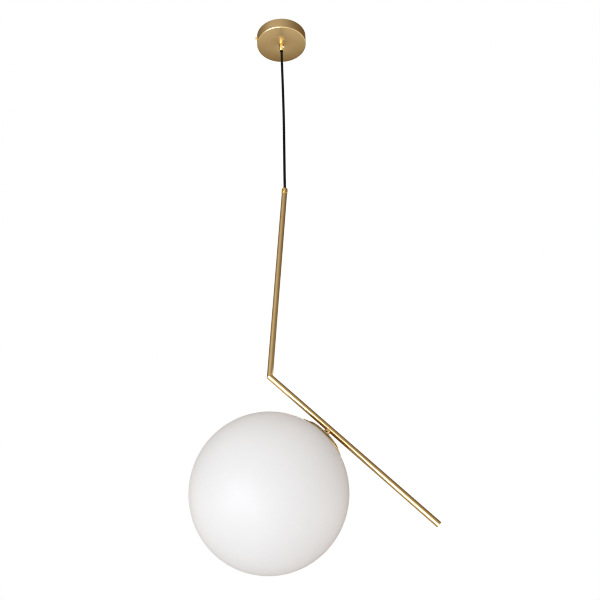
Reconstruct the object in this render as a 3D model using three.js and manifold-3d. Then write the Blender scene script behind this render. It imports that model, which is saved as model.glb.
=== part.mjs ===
import * as THREE from 'three';
import { mergeVertices } from 'three/addons/utils/BufferGeometryUtils.js';
import Module from 'manifold-3d';

// Pendant ceiling light: ceiling canopy, cord, mitred brass tube frame and an opal globe.
// Millimetres, +Z up. Origin: centre of the ceiling plane, on the top face of the ceiling bracket.
// The frame of the lamp lies in the X-Z plane.

const wasm = await Module();
wasm.setup();

// ---------- driving dimensions ----------
const GAP = 0.3;                 // clearance between touching pieces

const CANOPY_D = 120;            // ceiling canopy, outer diameter
const CANOPY_H = 28;             // ceiling canopy, height
const CANOPY_T = 1.2;            // canopy sheet thickness
const CANOPY_EDGE = 1.4;         // canopy lower edge radius
const BRACKET_TURN = 5;          // bracket turned about Z, degrees
const BRACKET_W = 18;
const BRACKET_T = 2;
const TAB_DROP = 14.5;           // bracket tab, lower end below the ceiling
const SIDE_SCREW_Z = -9;         // side screws, height

const GRIP_D = 11.4;             // cord grip, outer diameter
const GRIP_L = 19.7;             // cord grip, length below the canopy
const CORD_D = 6.0;              // supply cord, outer diameter
const BORE_D = 6.2;              // bores that the cord runs through
const CORD_EXIT_Z = -50.3;       // where the free cord begins
const SWING_X_Z = -53.3;         // pivot of the swing about X, centre of the first piece's round end
const SWING_Y_Z = -59.3;         // pivot of the swing about Y, centre of the second piece's round end
const FOOT_L = 10;               // last straight piece of the cord above the ferrule

const STEM_TOP = [0, -456];      // x, z of the top of the stem's ferrule
const ELBOW = [-38.7, -910.2];   // x, z of the mitre on the tube axes
const ARM_END = [269, -1213.1];  // x, z of the arm's cut end on its axis
const TUBE_D = 12;
const TUBE_T = 1;
const FERRULE_D = 13;
const FERRULE_L = 14;            // visible ferrule
const SPIGOT_L = 12;             // ferrule spigot inside the stem

const NECK_T = 160.8;            // neck axis, distance along the arm from the mitre
const GLOBE_D = 300;             // glass globe, outer diameter
const NECK_L = 14.0;             // underside of the neck collar from the arm axis
const GLOBE_OFF = 166;           // globe centre from the holder's own datum, which is 11 mm above the collar's underside
const GLASS_T = 1.3;             // glass wall
const MOUTH_R = 34;              // globe mouth radius
const COLLAR_R = 52;             // collar flange, outer radius
const CAP_R = 40;                // holder cap, outer radius
const SLUG_L = 79.0;              // balance slug in the arm end

const SEG = 36;                  // facets round the neck-axis pieces

// ---------- helpers ----------
const V = (x, y, z) => new THREE.Vector3(x, y, z);
const rad = (d) => (d * Math.PI) / 180;

function toManifold(g) {
  g = g.clone();
  g.deleteAttribute('normal');
  g.deleteAttribute('uv');
  g = mergeVertices(g, 1e-4);
  return new wasm.Manifold(new wasm.Mesh({
    numProp: 3,
    vertProperties: new Float32Array(g.attributes.position.array),
    triVerts: new Uint32Array(g.index.array),
  }));
}

function fromManifold(m) {
  const mesh = m.getMesh();
  const g = new THREE.BufferGeometry();
  g.setAttribute('position', new THREE.BufferAttribute(new Float32Array(mesh.vertProperties), 3));
  g.setIndex(new THREE.BufferAttribute(new Uint32Array(mesh.triVerts), 1));
  return g;
}

function cut(base, ...tools) {
  let m = toManifold(base);
  for (const t of tools) m = m.subtract(toManifold(t));
  return fromManifold(m);
}

function join(base, ...more) {
  let m = toManifold(base);
  for (const t of more) m = m.add(toManifold(t));
  return fromManifold(m);
}

// revolve [r, z] pairs about Z; the pairs run anticlockwise in the r-z half plane
function revolve(pairs, seg = SEG, closed = true) {
  const pts = pairs.map(([r, z]) => new THREE.Vector2(Math.max(r, 0), z));
  if (closed) pts.push(pts[0].clone());
  const g = new THREE.LatheGeometry(pts, seg);
  g.rotateX(Math.PI / 2); // lathe axis Y becomes Z
  return fixed(g);
}

// welded copy with its faces turned outward
function fixed(g) {
  g = g.clone();
  g.deleteAttribute('normal');
  g.deleteAttribute('uv');
  g = mergeVertices(g, 1e-4);
  const p = g.attributes.position, keep = [];
  const ix = g.index.array;
  for (let i = 0; i < ix.length; i += 3) {
    const [a, b, c] = [ix[i], ix[i + 1], ix[i + 2]];
    if (a !== b && b !== c && a !== c) keep.push(a, b, c);
  }
  let vol = 0;
  const A = V(0, 0, 0), B = V(0, 0, 0), C = V(0, 0, 0);
  for (let i = 0; i < keep.length; i += 3) {
    A.fromBufferAttribute(p, keep[i]);
    B.fromBufferAttribute(p, keep[i + 1]);
    C.fromBufferAttribute(p, keep[i + 2]);
    vol += A.dot(B.cross(C));
  }
  if (vol < 0) for (let i = 0; i < keep.length; i += 3) [keep[i], keep[i + 1]] = [keep[i + 1], keep[i]];
  g.setIndex(keep);
  return g;
}

// cylinder from point a to point b
function rod(a, b, r, seg = 16) {
  const d = b.clone().sub(a);
  const g = new THREE.CylinderGeometry(r, r, d.length(), seg);
  g.applyQuaternion(new THREE.Quaternion().setFromUnitVectors(V(0, 1, 0), d.clone().normalize()));
  g.translate((a.x + b.x) / 2, (a.y + b.y) / 2, (a.z + b.z) / 2);
  return g;
}

function prism(a, b, r, sides) {
  return rod(a, b, r, sides);
}

function box(x0, x1, y0, y1, z0, z1) {
  const g = new THREE.BoxGeometry(x1 - x0, y1 - y0, z1 - z0);
  g.translate((x0 + x1) / 2, (y0 + y1) / 2, (z0 + z1) / 2);
  return g;
}

// straight tube whose ends lie on planes through p0 and p1 with normals n0 and n1
function tube(p0, p1, n0, n1, ro, ri, seg = 28) {
  const dir = p1.clone().sub(p0).normalize();
  const e1 = V(0, 1, 0);
  const e2 = dir.clone().cross(e1).normalize();
  const rings = [];
  for (const [p, n] of [[p0, n0], [p1, n1]]) {
    for (const r of [ro, ri]) {
      const ring = [];
      for (let i = 0; i < seg; i++) {
        const t = (2 * Math.PI * i) / seg;
        const off = e1.clone().multiplyScalar(r * Math.cos(t)).addScaledVector(e2, r * Math.sin(t));
        const slide = -off.dot(n) / dir.dot(n);
        ring.push(p.clone().add(off).addScaledVector(dir, slide));
      }
      rings.push(ring);
    }
  }
  const pos = [], idx = [];
  for (const ring of rings) for (const q of ring) pos.push(q.x, q.y, q.z);
  const at = (k, i) => k * seg + (i % seg);
  const quad = (a, b, c, d) => idx.push(a, b, c, a, c, d);
  for (let i = 0; i < seg; i++) {
    quad(at(0, i), at(0, i + 1), at(2, i + 1), at(2, i)); // outer wall
    quad(at(1, i + 1), at(1, i), at(3, i), at(3, i + 1)); // inner wall
    quad(at(0, i + 1), at(0, i), at(1, i), at(1, i + 1)); // first end
    quad(at(2, i), at(2, i + 1), at(3, i + 1), at(3, i)); // second end
  }
  const g = new THREE.BufferGeometry();
  g.setAttribute('position', new THREE.Float32BufferAttribute(pos, 3));
  g.setIndex(idx);
  return fixed(g);
}

// round bar along a curve
function cable(curve, d, sides, steps) {
  const shape = new THREE.Shape();
  for (let i = 0; i < sides; i++) {
    const t = (2 * Math.PI * i) / sides;
    const f = i === 0 ? 'moveTo' : 'lineTo';
    shape[f]((d / 2) * Math.cos(t), (d / 2) * Math.sin(t));
  }
  shape.closePath();
  return new THREE.ExtrudeGeometry(shape, { steps, extrudePath: curve, bevelEnabled: false, curveSegments: 1 });
}

const root = new THREE.Group();
function add(name, geometry, color, roughness, metalness, extra = {}) {
  let g = geometry.clone();
  g.deleteAttribute('normal');
  g.deleteAttribute('uv');
  g = mergeVertices(g, 1e-4);
  g.computeVertexNormals();
  const mesh = new THREE.Mesh(g, new THREE.MeshStandardMaterial({ color, roughness, metalness, flatShading: true, ...extra }));
  mesh.name = name;
  root.add(mesh);
  return mesh;
}

const BRASS = 0xb49a63, BRASS_POLISHED = 0xc9a24a, STEEL = 0xb8bbbe, ZINC = 0xa9adb0;
const BLACK = 0x111112, OPAL = 0xf4f1ee, PLASTIC = 0xe8e6df;

// ---------- ceiling bracket and its fasteners ----------
const turnZ = (g) => g.rotateZ(rad(BRACKET_TURN));
const half = CANOPY_D / 2 - CANOPY_T - 1.8;
let bracket = join(
  box(-half, half, -BRACKET_W / 2, BRACKET_W / 2, -BRACKET_T, 0),
  box(half - BRACKET_T, half, -6, 6, -TAB_DROP, -BRACKET_T + 0.2),
  box(-half, -half + BRACKET_T, -6, 6, -TAB_DROP, -BRACKET_T + 0.2),
);
const slot = (x) => join(
  box(x - 5, x + 5, -2.4, 2.4, -3, 1),
  rod(V(x - 5, 0, -3), V(x - 5, 0, 1), 2.4, 12),
  rod(V(x + 5, 0, -3), V(x + 5, 0, 1), 2.4, 12),
);
bracket = cut(
  bracket,
  slot(-41), slot(43),
  rod(V(-22, 0, -3), V(-22, 0, 1), 1.9, 16),
  rod(V(-70, 0, SIDE_SCREW_Z), V(-50, 0, SIDE_SCREW_Z), 2.3, 16),
  rod(V(50, 0, SIDE_SCREW_Z), V(70, 0, SIDE_SCREW_Z), 2.3, 16),
);
add('ceiling_bracket', turnZ(bracket), ZINC, 0.42, 1);

// earth screw on the underside of the bracket, head below, threaded shank in the bracket
const earth = join(
  rod(V(-22, 0, -4.6), V(-22, 0, -2.3), 3.1, 20),
  rod(V(-22, 0, -2.4), V(-22, 0, -0.4), 1.55, 16),
);
add('earth_screw', turnZ(cut(earth, box(-25.5, -18.5, -0.45, 0.45, -5, -3.7))), BRASS_POLISHED, 0.3, 1);
// ring tongue of the earth lead, under the screw head
add('earth_washer', turnZ(revolve([[1.9, -5.6 + 0.4], [4, -5.2], [4, -4.9], [1.9, -4.9]], 24).translate(-22, 0, 0)), BRASS_POLISHED, 0.35, 1);

// ---------- canopy ----------
const R = CANOPY_D / 2, e = CANOPY_EDGE;
const cupProfile = [[5.35, -CANOPY_H]];
for (let i = 0; i <= 4; i++) {
  const t = rad(-90 + i * 22.5);
  cupProfile.push([R - e + e * Math.cos(t), -CANOPY_H + e + e * Math.sin(t)]);
}
cupProfile.push([R, -0.2], [R - CANOPY_T, -0.2], [R - CANOPY_T, -CANOPY_H + CANOPY_T + 0.5], [R - CANOPY_T - 0.5, -CANOPY_H + CANOPY_T], [5.35, -CANOPY_H + CANOPY_T]);
const sideHole = (s) => rod(V(s * 50, 0, SIDE_SCREW_Z), V(s * 70, 0, SIDE_SCREW_Z), 2.3, 16).rotateZ(rad(BRACKET_TURN));
add('canopy_cup', cut(revolve(cupProfile, 48), sideHole(1), sideHole(-1)), BRASS, 0.32, 1);

// knurled screw through the canopy wall into the bracket tab, on the -X side
const knurl = new THREE.Shape();
for (let i = 0; i < 36; i++) {
  const t = (2 * Math.PI * i) / 36, r = i % 2 ? 3.25 : 3.65;
  knurl[i ? 'lineTo' : 'moveTo'](r * Math.cos(t), r * Math.sin(t));
}
knurl.closePath();
const knurlHead = new THREE.ExtrudeGeometry(knurl, { depth: 3.4, bevelEnabled: false, curveSegments: 1 });
knurlHead.rotateY(-Math.PI / 2).translate(-(R + GAP), 0, SIDE_SCREW_Z);
add('side_screw', turnZ(join(knurlHead, rod(V(-(R + GAP + 0.2), 0, SIDE_SCREW_Z), V(-53, 0, SIDE_SCREW_Z), 2, 16))), BRASS_POLISHED, 0.28, 1);
// flush grub screw on the opposite side
add('side_grub_screw', turnZ(cut(
  rod(V(53, 0, SIDE_SCREW_Z), V(R - 0.3, 0, SIDE_SCREW_Z), 2, 16),
  prism(V(R - 2.2, 0, SIDE_SCREW_Z), V(R + 1, 0, SIDE_SCREW_Z), 1.15, 6),
)), BRASS_POLISHED, 0.3, 1);

// ---------- cord grip ----------
const gz = -CANOPY_H - GAP;           // upper face of the grip
const gb = gz - GRIP_L;               // lower face of the grip
const br = BORE_D / 2;
const gripBody = revolve([
  [br, gb + 3.4], [4.35, gb + 3.4], [4.35, gb], [GRIP_D / 2 - 0.5, gb], [GRIP_D / 2, gb + 0.5],
  [GRIP_D / 2, gz - 0.4], [GRIP_D / 2 - 0.4, gz], [5, gz], [5, -18.2], [br, -18.2],
], 28);
const gripAz = rad(-45);              // azimuth of the grip screw
const ga = (r, z) => V(r * Math.cos(gripAz), r * Math.sin(gripAz), z);
const GSZ = gz - 10.2;
add('cord_grip', cut(gripBody, rod(ga(0, GSZ), ga(9, GSZ), 1.85, 16)), BRASS_POLISHED, 0.18, 1);
const gripScrew = join(
  rod(ga(3.1, GSZ), ga(6.3, GSZ), 1.5, 16),
  rod(ga(GRIP_D / 2 + GAP, GSZ), ga(GRIP_D / 2 + GAP + 2, GSZ), 2.6, 20),
);
add('grip_screw', cut(gripScrew, prism(ga(7, GSZ), ga(9, GSZ), 1.2, 6)), STEEL, 0.2, 1);
add('grip_washer', revolve([[5.35, -26.5], [8.6, -26.5], [8.6, -25.7], [5.35, -25.7]], 32), STEEL, 0.35, 1);
add('grip_nut', cut(prism(V(0, 0, -25.4), V(0, 0, -22.2), 9, 6), rod(V(0, 0, -27), V(0, 0, -21), 5.35, 28)), STEEL, 0.35, 1);
add('grip_bush', revolve([[br, gb - 2.1], [3.7, gb - 2.1], [4.05, gb - 1.6], [4.05, gb + 3.1], [br, gb + 3.1]], 24), BLACK, 0.6, 0);

// ---------- terminal block and leads inside the canopy ----------
const blockX = [17, 36];
let block = join(
  box(blockX[0], blockX[1], -8, 8, -13, -2.3),
  rod(V(26.5, -4.3, -15.5), V(26.5, -4.3, -12.5), 3.2, 20),
  rod(V(26.5, 4.3, -15.5), V(26.5, 4.3, -12.5), 3.2, 20),
);
block = cut(
  block,
  rod(V(26.5, -4.3, -16.5), V(26.5, -4.3, -11), 2.2, 16),
  rod(V(26.5, 4.3, -16.5), V(26.5, 4.3, -11), 2.2, 16),
  rod(V(10, -4.3, -8), V(24, -4.3, -8), 1.6, 12),
  rod(V(10, 4.3, -8), V(24, 4.3, -8), 1.6, 12),
  rod(V(29, -4.3, -8), V(40, -4.3, -8), 1.6, 12),
  rod(V(29, 4.3, -8), V(40, 4.3, -8), 1.6, 12),
);
add('terminal_block', turnZ(block), PLASTIC, 0.5, 0);
for (const [name, y] of [['terminal_screw_live', -4.3], ['terminal_screw_neutral', 4.3]]) {
  add(name, turnZ(cut(rod(V(26.5, y, -14.6), V(26.5, y, -11.4), 1.85, 16), box(24, 29, y - 0.35, y + 0.35, -15, -14.0))), STEEL, 0.35, 1);
}

// jacketed cord through the grip, cut back just above it
add('cord_inlet', rod(V(0, 0, CORD_EXIT_Z + GAP), V(0, 0, -17), CORD_D / 2, 12), BLACK, 0.55, 0);
// cores from the jacket to the terminals and to the earth screw
const inX = (x, y, z) => V(x, y, z).applyAxisAngle(V(0, 0, 1), rad(BRACKET_TURN));
const leadTo = (name, start, mid, end, color) => {
  const c = new THREE.CatmullRomCurve3([start, start.clone().add(V(0, 0, 2.4)), mid[0], mid[1], end], false, 'centripetal');
  add(name, cable(c, 2, 8, 14), color, 0.5, 0);
};
leadTo('lead_live', V(1.0, -1.45, -16.7), [V(3.6, -2.6, -9.8), inX(9, -4.3, -8)], inX(22, -4.3, -8), 0x6b3e20);
leadTo('lead_neutral', V(1.0, 1.45, -16.7), [V(3.6, 2.6, -9.8), inX(9, 4.3, -8)], inX(22, 4.3, -8), 0x2c5fb0);
leadTo('lead_earth', V(-1.7, 0, -16.7), [V(-4.6, 0, -9.6), inX(-11, 0, -6.6)], inX(-17.6, 0, -6.4), 0x5a9a2e);

// ---------- cord ----------
// round upper ends turn on the pivots without touching the piece above
const cr = CORD_D / 2;
const dome = (z) => Array.from({ length: 5 }, (_, k) => [cr * Math.sin(rad(k * 22.5)), z + cr * Math.cos(rad(k * 22.5))]);
const roundTopped = (z, bottom) => revolve([...dome(z), [cr, bottom], [0, bottom]], 12, false);
add('cord_top', roundTopped(SWING_X_Z, SWING_Y_Z + cr + GAP), BLACK, 0.55, 0);
add('cord', roundTopped(SWING_Y_Z, STEM_TOP[1] + FOOT_L + 2 * GAP), BLACK, 0.55, 0);
add('cord_foot', rod(V(0, 0, STEM_TOP[1] + GAP), V(0, 0, STEM_TOP[1] + FOOT_L + GAP), cr, 12), BLACK, 0.55, 0);

// ---------- lamp frame: local frames ----------
const S0 = V(STEM_TOP[0], 0, STEM_TOP[1]);
const E = V(ELBOW[0], 0, ELBOW[1]);
const P = V(ARM_END[0], 0, ARM_END[1]);
const u = E.clone().sub(S0).normalize();      // down the stem
const w = P.clone().sub(E).normalize();       // down the arm
const mitre = u.clone().add(w).normalize();   // normal of the mitre plane
const armL = P.distanceTo(E);
const n = V(w.z, 0, -w.x);                    // square to the arm, towards the globe
if (n.z > 0) n.negate();
const F = E.clone().addScaledVector(w, NECK_T);
const HF = F.clone().addScaledVector(n, NECK_L - 11);   // datum of the holder, bulb and globe
const G = HF.clone().addScaledVector(n, GLOBE_OFF);

// places a piece built along local -Z (a = distance down from the top) on the stem axis
const onStem = (g) => g.applyQuaternion(new THREE.Quaternion().setFromUnitVectors(V(0, 0, -1), u)).translate(S0.x, S0.y, S0.z);
// places a piece built along local -Z (b = distance from the arm axis) on the neck axis
const onNeck = (g) => g.applyQuaternion(new THREE.Quaternion().setFromUnitVectors(V(0, 0, -1), n)).translate(F.x, F.y, F.z);
// the same for the holder, bulb and globe, with b measured from the holder's datum
const onHolder = (g) => g.applyQuaternion(new THREE.Quaternion().setFromUnitVectors(V(0, 0, -1), n)).translate(HF.x, HF.y, HF.z);
const down = (pairs) => pairs.map(([r, a]) => [r, -a]);

// ---------- ferrule ----------
const FR = FERRULE_D / 2;
const domed = [[br, 0]];
for (let i = 0; i <= 4; i++) {
  const t = rad(i * 22.5);
  domed.push([3.9 + (FR - 3.9) * Math.sin(t), 4.4 * (1 - Math.cos(t))]);
}
domed.push([FR, FERRULE_L], [4.7, FERRULE_L], [4.7, FERRULE_L + SPIGOT_L], [br, FERRULE_L + SPIGOT_L]);
const fsA = 8.2;                              // ferrule screw, distance below the top
const fAz = rad(-84);
const fp = (r, a) => V(r * Math.cos(fAz), r * Math.sin(fAz), -a);
add('stem_ferrule', onStem(cut(revolve(down(domed), 28), rod(fp(0, fsA), fp(9, fsA), 1.8, 16))), BRASS_POLISHED, 0.2, 1);
add('ferrule_screw', onStem(cut(rod(fp(3.1, fsA), fp(6.2, fsA), 1.5, 16), prism(fp(5.2, fsA), fp(7.5, fsA), 0.8, 6))), STEEL, 0.25, 1);
// the cord's end, pinched inside the ferrule
add('cord_end', onStem(rod(V(0, 0, -0.6), V(0, 0, -22), CORD_D / 2, 12)), BLACK, 0.55, 0);

// ---------- tubes ----------
const stemStart = S0.clone().addScaledVector(u, FERRULE_L + GAP);
const ro = TUBE_D / 2, ri = ro - TUBE_T;
const E0 = E.clone().addScaledVector(mitre, -0.03), E1 = E.clone().addScaledVector(mitre, 0.03);
const hitStem = E.clone().addScaledVector(u, -0.03 / u.dot(mitre)), hitArm = E.clone().addScaledVector(w, 0.03 / w.dot(mitre));
add('upper_tube', tube(stemStart, hitStem, u, mitre, ro, ri), BRASS, 0.33, 1);
const armTube = tube(hitArm, P, mitre, w, ro, ri);
add('lower_tube', cut(armTube, rod(F.clone().addScaledVector(n, 1.5), F.clone().addScaledVector(n, 8), 4.35, 24)), BRASS, 0.33, 1);
// end plug with its balance slug
const pe = (t) => E.clone().addScaledVector(w, t);
add('arm_end_plug', rod(pe(armL - SLUG_L), pe(armL - 0.4), ri - GAP, 28), BRASS, 0.3, 1);

// ---------- neck ----------
const GRUB_B = 9.4;                           // grub screw, distance from the arm axis
const spacerRaw = onNeck(revolve(down([[4.35, 1], [6, 1], [6, NECK_L], [4.35, NECK_L]]), SEG));
add('neck_spacer', cut(
  spacerRaw,
  rod(pe(NECK_T - 30), pe(NECK_T + 30), ro + GAP, 36),
  onNeck(rod(V(0, 0, -GRUB_B), V(0, -9, -GRUB_B), 1.75, 16)),
), BRASS, 0.3, 1);
add('neck_grub_screw', onNeck(cut(rod(V(0, -4.4, -GRUB_B), V(0, -6.1, -GRUB_B), 1.45, 16), prism(V(0, -5.3, -GRUB_B), V(0, -7, -GRUB_B), 0.8, 6))), 0x3a3d42, 0.35, 1);
add('threaded_nipple', onNeck(revolve(down([[2.75, 4.4], [4, 4.4], [4, NECK_L + 16], [2.75, NECK_L + 16]]), 24)), ZINC, 0.4, 1);

// ---------- globe holder ----------
// point on a sphere about the globe centre, as [radius, b]
const onSphere = (rho, r) => [r, GLOBE_OFF - Math.sqrt(rho * rho - r * r)];
const arc = (rho, r0, r1, k) => Array.from({ length: k + 1 }, (_, i) => onSphere(rho, r0 + ((r1 - r0) * i) / k));
add('holder_cap', onHolder(revolve(down([...arc(154.7, 4.35, CAP_R, 6), ...arc(153.5, CAP_R, 4.35, 6)]))), BRASS, 0.3, 1);
add('gallery', onHolder(revolve(down([
  ...arc(153.2, 4.35, 31.1, 4), [31.1, 27], [29.6, 27], ...arc(152.0, 29.6, 4.35, 4),
]))), BRASS, 0.35, 1);
add('nipple_washer', onHolder(revolve(down([[4.35, 14.5], [7.5, 14.5], [7.5, 15.3], [4.35, 15.3]]), 28)), STEEL, 0.35, 1);
add('nipple_nut', onHolder(cut(prism(V(0, 0, -15.6), V(0, 0, -18.8), 7.2, 6), rod(V(0, 0, -14), V(0, 0, -20), 4.35, 24))), STEEL, 0.35, 1);

// ---------- lamp holder ----------
add('lampholder_cap', onHolder(revolve(down([[4.35, 20], [10, 20], [15, 23], [17, 28], [17, 37], [15.2, 37], [15.2, 29], [13.4, 24.8], [9.4, 22.2], [4.35, 22.2]]), 32)), BLACK, 0.45, 0);
add('lampholder_body', onHolder(revolve(down([[0, 37.3], [18.4, 37.3], [18.4, 69], [17.6, 69.8], [15.9, 69.8], [15.9, 41.6], [0, 41.6]]), 32, false)), BLACK, 0.45, 0);
add('lampholder_shell', onHolder(revolve(down([[14.3, 43], [15.55, 43], [15.55, 68.6], [14.3, 68.6]]), 32)), BRASS_POLISHED, 0.3, 1);
add('lampholder_contact', onHolder(join(rod(V(0, 0, -41.9), V(0, 0, -43.0), 5, 20), rod(V(0, 0, -42.8), V(0, 0, -44.1), 2.4, 16))), BRASS_POLISHED, 0.3, 1);

// ---------- bulb ----------
add('bulb_contact', onHolder(revolve(down([[0, 44.4], [3, 44.4], [4.8, 46.2], [4.8, 46.6], [0, 46.6]]), 24, false)), STEEL, 0.3, 1);
const screwBase = [[0, 46.9], [8.2, 46.9]];
for (let i = 0; i < 5; i++) {
  const b = 50 + i * 3.63;
  screwBase.push([12.4, b - 0.9], [13.3, b + 0.9]);
}
screwBase.push([12.6, 67.4], [13.2, 69.5], [13.2, 71.4], [11.2, 71.4], [11.2, 52], [7, 49.2], [0, 49.2]);
add('bulb_base', onHolder(revolve(down(screwBase), 24, false)), STEEL, 0.3, 1);
const bulbOut = [[13.2, 71.7], [14.2, 78], [17.6, 86], [23, 95], [27.6, 104.5], [29.7, 114], [29.8, 121], [28, 131], [23.6, 140.2], [17.2, 147.2], [9, 152], [0, 153.6]];
const bulbIn = [[12.0, 71.7], [13.0, 78.2], [16.5, 86.6], [21.9, 95.5], [26.4, 104.9], [28.5, 114.1], [28.6, 121], [26.85, 130.6], [22.6, 139.3], [16.5, 146.1], [8.8, 150.7], [0, 152.2]];
// from the outer tip up to the open neck, and back down inside to the inner tip
add('bulb_envelope', onHolder(revolve(down([...bulbOut.slice().reverse(), ...bulbIn]), 24, false)), 0xf6f4ee, 0.4, 0);

// ---------- globe, its collar and gasket ----------
const GR = GLOBE_D / 2;
const outer = [], inner = [];
const a0 = Math.asin(MOUTH_R / GR), a1 = Math.asin(MOUTH_R / (GR - GLASS_T));
const K = 16;
for (let i = 0; i <= K; i++) {
  const t = a0 + ((Math.PI - a0) * i) / K;
  outer.push([i === K ? 0 : GR * Math.sin(t), GLOBE_OFF - GR * Math.cos(t)]);
}
for (let i = K; i >= 0; i--) {
  const t = a1 + ((Math.PI - a1) * i) / K;
  inner.push([i === K ? 0 : (GR - GLASS_T) * Math.sin(t), GLOBE_OFF - (GR - GLASS_T) * Math.cos(t)]);
}
// from the lower pole outside, up round the mouth, and back to the lower pole inside
const glass = [...outer.slice().reverse(), ...inner.slice().reverse()];
add('globe', onHolder(revolve(down(glass), SEG, false)), OPAL, 0.35, 0);
const c0 = 150.35, c1 = 151.9;
add('globe_collar', onHolder(revolve(down([
  ...arc(c1, 31.5, COLLAR_R, 5), ...arc(c0, COLLAR_R, 33.6, 5), [33.6, 28.5], [31.5, 28.5],
]))), BRASS, 0.3, 1);
add('globe_gasket', onHolder(revolve(down([...arc(153.15, 31.5, 37.5, 2), ...arc(152.25, 37.5, 31.5, 2)]))), 0xd8d4cc, 0.7, 0);

// ---------- twin lead through the tubes to the lamp holder ----------
const route = new THREE.CurvePath();
const q0 = S0.clone().addScaledVector(u, 22.4);
const q1 = E.clone().addScaledVector(u, -14), q2 = E.clone().addScaledVector(w, 14);
const q3 = F.clone().addScaledVector(w, -9), q4 = F.clone().addScaledVector(n, 9), q5 = HF.clone().addScaledVector(n, 37.0);
const corner = (a, c, b, k) => {
  const bez = new THREE.QuadraticBezierCurve3(a, c, b);
  return bez.getPoints(k);
};
const leadPts = [q0, ...corner(q1, E, q2, 8), ...corner(q3, F, q4, 8), q5];
for (let i = 1; i < leadPts.length; i++) route.add(new THREE.LineCurve3(leadPts[i - 1], leadPts[i]));
function swept(points, r, sides) {
  const rings = [];
  for (let i = 0; i < points.length; i++) {
    const a = points[Math.max(i - 1, 0)], b = points[Math.min(i + 1, points.length - 1)];
    const t = b.clone().sub(a).normalize();
    const e1 = V(0, 1, 0), e2 = t.clone().cross(e1).normalize();
    const ring = [];
    for (let k = 0; k < sides; k++) {
      const s = (2 * Math.PI * k) / sides;
      ring.push(points[i].clone().addScaledVector(e1, r * Math.cos(s)).addScaledVector(e2, r * Math.sin(s)));
    }
    rings.push(ring);
  }
  const pos = [], idx = [];
  for (const ring of rings) for (const q of ring) pos.push(q.x, q.y, q.z);
  for (let i = 0; i + 1 < rings.length; i++) for (let k = 0; k < sides; k++) {
    const a = i * sides + k, b = i * sides + ((k + 1) % sides), c = b + sides, d = a + sides;
    idx.push(a, b, c, a, c, d);
  }
  for (const [base, flip] of [[0, true], [(rings.length - 1) * sides, false]]) for (let k = 1; k + 1 < sides; k++) {
    idx.push(...(flip ? [base, base + k + 1, base + k] : [base, base + k, base + k + 1]));
  }
  const g = new THREE.BufferGeometry();
  g.setAttribute('position', new THREE.Float32BufferAttribute(pos, 3));
  g.setIndex(idx);
  return fixed(g);
}
add('twin_lead', swept(leadPts, 1.7, 8), 0xd9d5cb, 0.5, 0);

export default root;
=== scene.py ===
import bpy, bmesh, math
from mathutils import Vector, Matrix, Quaternion, noise


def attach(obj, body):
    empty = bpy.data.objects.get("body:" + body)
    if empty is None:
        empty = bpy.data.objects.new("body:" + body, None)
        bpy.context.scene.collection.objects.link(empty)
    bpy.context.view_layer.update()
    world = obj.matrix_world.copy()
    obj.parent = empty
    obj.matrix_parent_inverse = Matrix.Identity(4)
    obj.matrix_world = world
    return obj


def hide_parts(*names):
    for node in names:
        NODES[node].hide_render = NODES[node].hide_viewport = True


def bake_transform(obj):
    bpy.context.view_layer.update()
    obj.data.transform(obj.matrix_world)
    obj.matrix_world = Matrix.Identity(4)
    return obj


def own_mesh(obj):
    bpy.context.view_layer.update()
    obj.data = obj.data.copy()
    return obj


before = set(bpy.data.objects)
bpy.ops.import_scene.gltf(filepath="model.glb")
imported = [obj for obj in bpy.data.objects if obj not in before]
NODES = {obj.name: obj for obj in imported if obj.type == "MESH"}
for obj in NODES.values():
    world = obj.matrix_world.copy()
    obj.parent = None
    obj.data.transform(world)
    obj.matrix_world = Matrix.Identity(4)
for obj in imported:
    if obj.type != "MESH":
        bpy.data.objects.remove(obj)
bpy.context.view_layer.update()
MM = 0.001
rad = math.radians

# ------------------------------------------------------------------ the CAD's own sizes, in millimetres
CANOPY_R, CANOPY_H, CANOPY_T = 60.0, 28.0, 1.2
TURN = rad(5)
SIDE_Z = -9.0
GRIP_TOP, GRIP_BOTTOM = -28.3, -48.0
GRIP_R = 5.7
CORD_R = 3.0
EXIT_Z, SWING_X_Z, SWING_Y_Z = -50.3, -53.3, -59.3
FOOT_Z, FERRULE_Z = -445.7, -456.0
S0 = Vector((0, 0, -456.0))
E = Vector((-38.7, 0, -910.2))
P = Vector((269.0, 0, -1213.1))
U = (E - S0).normalized()
W = (P - E).normalized()
N = Vector((W.z, 0, -W.x))
if N.z > 0:
    N = -N
F = E + W * 160.8
NECK_L, GRUB_B = 14.0, 9.4
HF = F + N * (NECK_L - 11.0)        # datum of the holder, bulb and globe
G = HF + N * 166.0
ARM_L = (P - E).length
MITRE = (U + W).normalized()
TUBE_R = 6.0

# ------------------------------------------------------------------ camera
CAM_F = 876.3 / 600.0          # focal length over frame width
PITCH, ROLL, YAW = rad(27.7325), rad(-1.78), rad(0.4308)
fwd = Vector((math.sin(YAW) * math.cos(PITCH), math.cos(YAW) * math.cos(PITCH), math.sin(PITCH)))
right = Vector((math.cos(YAW), -math.sin(YAW), 0))
up = right.cross(fwd)
cx = math.cos(ROLL) * right + math.sin(ROLL) * up
cy = -math.sin(ROLL) * right + math.cos(ROLL) * up
cam_data = bpy.data.cameras.new("camera")
cam_data.sensor_width = 36.0
cam_data.lens = 36.0 * CAM_F
cam = bpy.data.objects.new("camera", cam_data)
bpy.context.scene.collection.objects.link(cam)
m = Matrix((cx, cy, -fwd)).transposed().to_4x4()
m.translation = Vector((14.0, -1619.0, -1590.0)) * MM
cam.matrix_world = m
cam_data.clip_start, cam_data.clip_end = 0.01, 50
bpy.context.scene.camera = cam


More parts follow.
